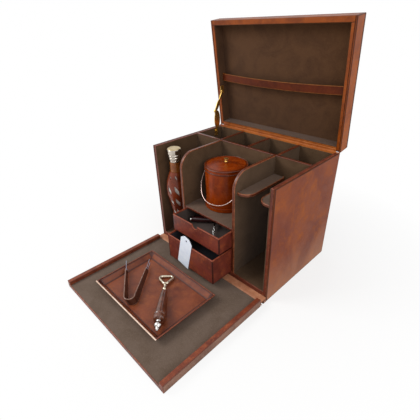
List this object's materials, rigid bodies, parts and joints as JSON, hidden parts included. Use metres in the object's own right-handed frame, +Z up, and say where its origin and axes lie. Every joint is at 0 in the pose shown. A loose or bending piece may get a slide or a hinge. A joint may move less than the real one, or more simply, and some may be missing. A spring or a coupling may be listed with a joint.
{
  "type": "travel bar case",
  "caption": "Leather-covered travel bar case with a hinged lid, a fold-down front, suede-lined bays, drawers, an ice bucket, a bottle, a tray and bar tools.",
  "frame": {"origin": "on the ground, at the centre of the walls' footprint", "axes": "+X to the right seen from the front, +Y to the back, +Z up; the front with its flap faces -Y"},
  "size_m": [0.48, 0.7353, 0.7088],
  "materials": {
    "outer_leather": "waxed bridle leather, mottled tan to mahogany",
    "suede": "dark brown suede lining",
    "edge_leather": "burnished leather edge",
    "strip_leather": "orange-tan leather strip",
    "strap_leather": "red-brown leather strap",
    "drawer_leather": "dark red-brown leather over wood",
    "tray_leather": "mottled brown leather",
    "bucket_leather": "polished chestnut leather",
    "liner": "spun steel liner",
    "brass": "polished brass",
    "chrome": "polished chrome",
    "claw_steel": "polished steel",
    "bottle_leather": "dark glossy leather",
    "glass": "clear glass",
    "tongs_leather": "dark brown leather over steel",
    "handle_wood": "turned dark wood, varnished",
    "paper": "blank card"
  },
  "bodies": {
    "root": {"back_hinge_strip": "strip_leather", "back_wall": "outer_leather", "bail_pivots": "chrome", "base_board": "outer_leather", "bottle_collar": "strip_leather", "bottle_glass": "glass", "bottle_leather_cover": "bottle_leather", "bucket_foot": "bucket_leather", "bucket_liner": "liner", "bucket_shelf": "suede", "bucket_shelf_edge": "edge_leather", "bucket_shell": "bucket_leather", "cross_partition": "suede", "divider_top_edges": "edge_leather", "drawer_shelf": "drawer_leather", "front_hinge_strip": "strip_leather", "hinge_nose_cover": "strip_leather", "interior_floor": "suede", "left_glass_ledge": "suede", "left_partition": "suede", "left_side_wall": "outer_leather", "partition_edges": "edge_leather", "rear_divider_1": "suede", "rear_divider_2": "suede", "rear_divider_3": "suede", "right_glass_ledge": "suede", "right_partition": "suede", "right_side_wall": "outer_leather", "stay_case_foot": "brass", "wall_lining": "suede"},
    "lid": {"lid_top_panel": "outer_leather", "lid_rim_frame": "outer_leather", "lid_hinge_strip": "strip_leather", "lid_lining": "suede", "lid_strap": "strap_leather", "stay_lid_foot": "brass"},
    "stay_lower": {"stay_lower_arm": "brass"},
    "stay_upper": {"stay_upper_arm": "brass"},
    "flap": {"flap_board": "outer_leather", "flap_end_binding": "outer_leather", "flap_lining": "suede", "flap_side_rims": "outer_leather"},
    "lower_drawer": {"lower_drawer": "drawer_leather"},
    "paper_tag": {"paper_tag": "paper"},
    "upper_drawer": {"upper_drawer": "drawer_leather", "corkscrew_grip": "handle_wood", "corkscrew_ends": "chrome", "corkscrew_worm": "chrome"},
    "bucket_lid": {"bucket_lid": "bucket_leather", "bucket_knob": "brass"},
    "bucket_bail": {"bucket_bail": "chrome"},
    "bottle_cap": {"bottle_cap": "chrome"},
    "tray": {"serving_tray": "tray_leather", "tongs_left_arm": "tongs_leather", "tongs_left_claw": "claw_steel", "opener_head": "chrome", "opener_handle": "handle_wood", "opener_finial": "chrome"},
    "tongs_arm": {"tongs_right_arm": "tongs_leather", "tongs_right_claw": "claw_steel"}
  },
  "joints": [
    {"name": "flap_hinge", "type": "hinge", "parent": "root", "child": "flap", "pos_m": [0, -0.179, 0.007], "axis": [-1, 0, 0], "range_deg": [0, 90]},
    {"name": "lid_hinge", "type": "hinge", "parent": "root", "child": "lid", "pos_m": [0, 0.16, 0.36], "axis": [1, 0, 0], "range_deg": [0, 82.8]},
    {"name": "stay_foot_pivot", "type": "hinge", "parent": "root", "child": "stay_lower", "pos_m": [-0.226, 0.118, 0.348], "axis": [1, 0, 0], "range_deg": [0, 129.64]},
    {"name": "stay_lid_pivot", "type": "hinge", "parent": "lid", "child": "stay_upper", "pos_m": [-0.226, 0.14737, 0.48389], "axis": [1, 0, 0], "range_deg": [-29.54, 0]},
    {"name": "lower_drawer_slide", "type": "slide", "parent": "root", "child": "lower_drawer", "axis": [0, 1, 0], "range_m": [0, 0.109]},
    {"name": "upper_drawer_slide", "type": "slide", "parent": "root", "child": "upper_drawer", "axis": [0, 1, 0], "range_m": [0, 0.081]},
    {"name": "tag_lift", "type": "slide", "parent": "root", "child": "paper_tag", "axis": [0, 0, 1], "range_m": [0, 0.45]},
    {"name": "tray_lift", "type": "slide", "parent": "root", "child": "tray", "axis": [0, 0, 1], "range_m": [0, 0.549]},
    {"name": "bucket_lid_lift", "type": "slide", "parent": "root", "child": "bucket_lid", "axis": [0, 0, 1], "range_m": [0, 0.036]},
    {"name": "bail_swing", "type": "hinge", "parent": "root", "child": "bucket_bail", "pos_m": [-0.017, -0.051, 0.3016], "axis": [0.9668, 0.2554, 0], "range_deg": [-177.6, 0]},
    {"name": "bottle_cap_lift", "type": "slide", "parent": "root", "child": "bottle_cap", "axis": [0, 0, 1], "range_m": [0, 0.036]},
    {"name": "tongs_squeeze", "type": "hinge", "parent": "tray", "child": "tongs_arm", "pos_m": [-0.029, -0.437, 0.03], "axis": [0, 0, 1], "range_deg": [0, 13], "stiffness_Nm_per_rad": 1.2}
  ],
  "couplings": [
    {"joint": "lower_drawer_slide", "follows": "flap_hinge", "m_per_rad": 0.069391},
    {"joint": "upper_drawer_slide", "follows": "flap_hinge", "m_per_rad": 0.051566},
    {"joint": "tag_lift", "follows": "flap_hinge", "m_per_rad": 0.28648},
    {"joint": "tray_lift", "follows": "flap_hinge", "m_per_rad": 0.3495},
    {"joint": "stay_foot_pivot", "follows": "lid_hinge", "ratio": 1.5655},
    {"joint": "stay_lid_pivot", "follows": "lid_hinge", "ratio": -0.35658}
  ]
}
